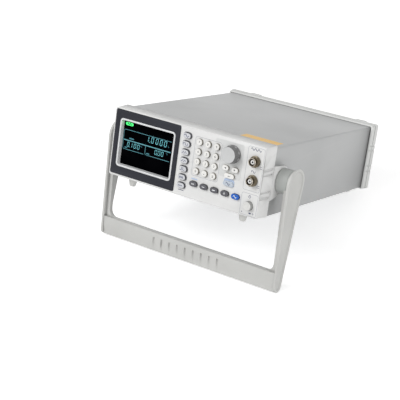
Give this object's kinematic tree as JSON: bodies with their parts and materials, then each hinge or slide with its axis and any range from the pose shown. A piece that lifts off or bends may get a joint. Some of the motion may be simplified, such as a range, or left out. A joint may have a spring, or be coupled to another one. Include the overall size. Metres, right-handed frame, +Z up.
{
  "type": "function generator",
  "caption": "Bench function generator with display, keypad, rotary knob and coaxial jacks, tilted on its swing handle.",
  "frame": {"origin": "middle of the bounding box on the surface that the instrument stands on", "axes": "+X to the instrument's right as it is faced, +Y from front to back, +Z up; the case leans back by 18.4 degrees about X"},
  "size_m": [0.266, 0.3068, 0.1786],
  "materials": {
    "bezel": "satin off-white",
    "panel": "satin dark grey",
    "frame": "silver-white",
    "screen": "gloss black",
    "board": "circuit board",
    "key_grey": "satin",
    "key_white": "satin",
    "key_dark": "satin",
    "key_blue": "satin",
    "key_clear": "translucent",
    "knob": "satin",
    "nickel": "nickel plated",
    "sheet": "painted grey",
    "steel": "plated steel",
    "moulding": "satin grey",
    "handle": "fine texture",
    "drum": "satin",
    "foot": "soft grey",
    "black": "matt"
  },
  "bodies": {
    "case": {"front_bezel": "bezel", "display_panel": "panel", "display_frame": "frame", "lcd_module": "screen", "front_board": "board", "encoder": "steel", "power_switch": "black", "top_cover": "sheet", "bottom_tray": "steel", "main_board": "board", "power_board": "board", "rear_panel": "steel", "rear_bezel": "moulding", "fan_housing": "black", "mains_inlet": "black", "usb_port": "nickel", "bnc_output": "nickel", "bnc_sync": "nickel", "bnc_rear_1": "nickel", "bnc_rear_2": "nickel", "front_foot_left": "foot", "front_foot_right": "foot", "pivot_boss_left": "drum", "pivot_boss_right": "drum"},
    "handle": {"handle": "handle", "hub_drum_left": "drum", "hub_drum_right": "drum"},
    "knob": {"knob": "knob", "encoder_shaft": "nickel"},
    "fan_rotor": {"fan_rotor": "black"},
    "power_button": {"power_button": "key_white"},
    "key_function_1": {"key_function_1": "key_grey"},
    "key_function_2": {"key_function_2": "key_grey"},
    "key_function_3": {"key_function_3": "key_grey"},
    "key_function_4": {"key_function_4": "key_grey"},
    "key_function_5": {"key_function_5": "key_grey"},
    "key_function_6": {"key_function_6": "key_grey"},
    "key_function_7": {"key_function_7": "key_grey"},
    "key_digit_7": {"key_digit_7": "key_white"},
    "key_digit_8": {"key_digit_8": "key_white"},
    "key_digit_9": {"key_digit_9": "key_white"},
    "key_digit_4": {"key_digit_4": "key_white"},
    "key_digit_5": {"key_digit_5": "key_white"},
    "key_digit_6": {"key_digit_6": "key_white"},
    "key_digit_1": {"key_digit_1": "key_white"},
    "key_digit_2": {"key_digit_2": "key_white"},
    "key_digit_3": {"key_digit_3": "key_white"},
    "key_digit_0": {"key_digit_0": "key_white"},
    "key_point": {"key_point": "key_white"},
    "key_sign": {"key_sign": "key_white"},
    "key_arrow_left": {"key_arrow_left": "key_white"},
    "key_arrow_right": {"key_arrow_right": "key_white"},
    "key_enter": {"key_enter": "key_white"},
    "key_output": {"key_output": "key_clear"},
    "key_mode_1": {"key_mode_1": "key_dark"},
    "key_mode_2": {"key_mode_2": "key_dark"},
    "key_mode_3": {"key_mode_3": "key_dark"},
    "key_mode_4": {"key_mode_4": "key_dark"},
    "key_mode_5": {"key_mode_5": "key_blue"}
  },
  "joints": [
    {"name": "handle_swing", "type": "hinge", "parent": "case", "child": "handle", "pos_m": [0, -0.09886, 0.12541], "axis": [1, 0, 0], "range_deg": [-238, 64]},
    {"name": "knob_turn", "type": "hinge", "parent": "case", "child": "knob", "pos_m": [0.0659, -0.12965, 0.16211], "axis": [0, 0.9488, -0.3158], "continuous": true},
    {"name": "fan_spin", "type": "hinge", "parent": "case", "child": "fan_rotor", "pos_m": [0.01971, 0.10916, 0.05629], "axis": [0, 0.9488, -0.3158], "continuous": true},
    {"name": "power_push", "type": "slide", "parent": "case", "child": "power_button", "axis": [0, 0.9488, -0.3158], "range_m": [0, 0.003], "stiffness_N_per_m": 300, "springref_m": -0.001},
    {"name": "function_1_push", "type": "slide", "parent": "case", "child": "key_function_1", "axis": [0, 0.9488, -0.3158], "range_m": [0, 0.001], "stiffness_N_per_m": 600, "springref_m": -0.0005},
    {"name": "function_2_push", "type": "slide", "parent": "case", "child": "key_function_2", "axis": [0, 0.9488, -0.3158], "range_m": [0, 0.001], "stiffness_N_per_m": 600, "springref_m": -0.0005},
    {"name": "function_3_push", "type": "slide", "parent": "case", "child": "key_function_3", "axis": [0, 0.9488, -0.3158], "range_m": [0, 0.001], "stiffness_N_per_m": 600, "springref_m": -0.0005},
    {"name": "function_4_push", "type": "slide", "parent": "case", "child": "key_function_4", "axis": [0, 0.9488, -0.3158], "range_m": [0, 0.001], "stiffness_N_per_m": 600, "springref_m": -0.0005},
    {"name": "function_5_push", "type": "slide", "parent": "case", "child": "key_function_5", "axis": [0, 0.9488, -0.3158], "range_m": [0, 0.001], "stiffness_N_per_m": 600, "springref_m": -0.0005},
    {"name": "function_6_push", "type": "slide", "parent": "case", "child": "key_function_6", "axis": [0, 0.9488, -0.3158], "range_m": [0, 0.001], "stiffness_N_per_m": 600, "springref_m": -0.0005},
    {"name": "function_7_push", "type": "slide", "parent": "case", "child": "key_function_7", "axis": [0, 0.9488, -0.3158], "range_m": [0, 0.001], "stiffness_N_per_m": 600, "springref_m": -0.0005},
    {"name": "digit_7_push", "type": "slide", "parent": "case", "child": "key_digit_7", "axis": [0, 0.9488, -0.3158], "range_m": [0, 0.001], "stiffness_N_per_m": 600, "springref_m": -0.0005},
    {"name": "digit_8_push", "type": "slide", "parent": "case", "child": "key_digit_8", "axis": [0, 0.9488, -0.3158], "range_m": [0, 0.001], "stiffness_N_per_m": 600, "springref_m": -0.0005},
    {"name": "digit_9_push", "type": "slide", "parent": "case", "child": "key_digit_9", "axis": [0, 0.9488, -0.3158], "range_m": [0, 0.001], "stiffness_N_per_m": 600, "springref_m": -0.0005},
    {"name": "digit_4_push", "type": "slide", "parent": "case", "child": "key_digit_4", "axis": [0, 0.9488, -0.3158], "range_m": [0, 0.001], "stiffness_N_per_m": 600, "springref_m": -0.0005},
    {"name": "digit_5_push", "type": "slide", "parent": "case", "child": "key_digit_5", "axis": [0, 0.9488, -0.3158], "range_m": [0, 0.001], "stiffness_N_per_m": 600, "springref_m": -0.0005},
    {"name": "digit_6_push", "type": "slide", "parent": "case", "child": "key_digit_6", "axis": [0, 0.9488, -0.3158], "range_m": [0, 0.001], "stiffness_N_per_m": 600, "springref_m": -0.0005},
    {"name": "digit_1_push", "type": "slide", "parent": "case", "child": "key_digit_1", "axis": [0, 0.9488, -0.3158], "range_m": [0, 0.001], "stiffness_N_per_m": 600, "springref_m": -0.0005},
    {"name": "digit_2_push", "type": "slide", "parent": "case", "child": "key_digit_2", "axis": [0, 0.9488, -0.3158], "range_m": [0, 0.001], "stiffness_N_per_m": 600, "springref_m": -0.0005},
    {"name": "digit_3_push", "type": "slide", "parent": "case", "child": "key_digit_3", "axis": [0, 0.9488, -0.3158], "range_m": [0, 0.001], "stiffness_N_per_m": 600, "springref_m": -0.0005},
    {"name": "digit_0_push", "type": "slide", "parent": "case", "child": "key_digit_0", "axis": [0, 0.9488, -0.3158], "range_m": [0, 0.001], "stiffness_N_per_m": 600, "springref_m": -0.0005},
    {"name": "point_push", "type": "slide", "parent": "case", "child": "key_point", "axis": [0, 0.9488, -0.3158], "range_m": [0, 0.001], "stiffness_N_per_m": 600, "springref_m": -0.0005},
    {"name": "sign_push", "type": "slide", "parent": "case", "child": "key_sign", "axis": [0, 0.9488, -0.3158], "range_m": [0, 0.001], "stiffness_N_per_m": 600, "springref_m": -0.0005},
    {"name": "arrow_left_push", "type": "slide", "parent": "case", "child": "key_arrow_left", "axis": [0, 0.9488, -0.3158], "range_m": [0, 0.001], "stiffness_N_per_m": 600, "springref_m": -0.0005},
    {"name": "arrow_right_push", "type": "slide", "parent": "case", "child": "key_arrow_right", "axis": [0, 0.9488, -0.3158], "range_m": [0, 0.001], "stiffness_N_per_m": 600, "springref_m": -0.0005},
    {"name": "enter_push", "type": "slide", "parent": "case", "child": "key_enter", "axis": [0, 0.9488, -0.3158], "range_m": [0, 0.001], "stiffness_N_per_m": 600, "springref_m": -0.0005},
    {"name": "output_push", "type": "slide", "parent": "case", "child": "key_output", "axis": [0, 0.9488, -0.3158], "range_m": [0, 0.001], "stiffness_N_per_m": 600, "springref_m": -0.0005},
    {"name": "mode_1_push", "type": "slide", "parent": "case", "child": "key_mode_1", "axis": [0, 0.9488, -0.3158], "range_m": [0, 0.001], "stiffness_N_per_m": 600, "springref_m": -0.0005},
    {"name": "mode_2_push", "type": "slide", "parent": "case", "child": "key_mode_2", "axis": [0, 0.9488, -0.3158], "range_m": [0, 0.001], "stiffness_N_per_m": 600, "springref_m": -0.0005},
    {"name": "mode_3_push", "type": "slide", "parent": "case", "child": "key_mode_3", "axis": [0, 0.9488, -0.3158], "range_m": [0, 0.001], "stiffness_N_per_m": 600, "springref_m": -0.0005},
    {"name": "mode_4_push", "type": "slide", "parent": "case", "child": "key_mode_4", "axis": [0, 0.9488, -0.3158], "range_m": [0, 0.001], "stiffness_N_per_m": 600, "springref_m": -0.0005},
    {"name": "mode_5_push", "type": "slide", "parent": "case", "child": "key_mode_5", "axis": [0, 0.9488, -0.3158], "range_m": [0, 0.001], "stiffness_N_per_m": 600, "springref_m": -0.0005}
  ]
}
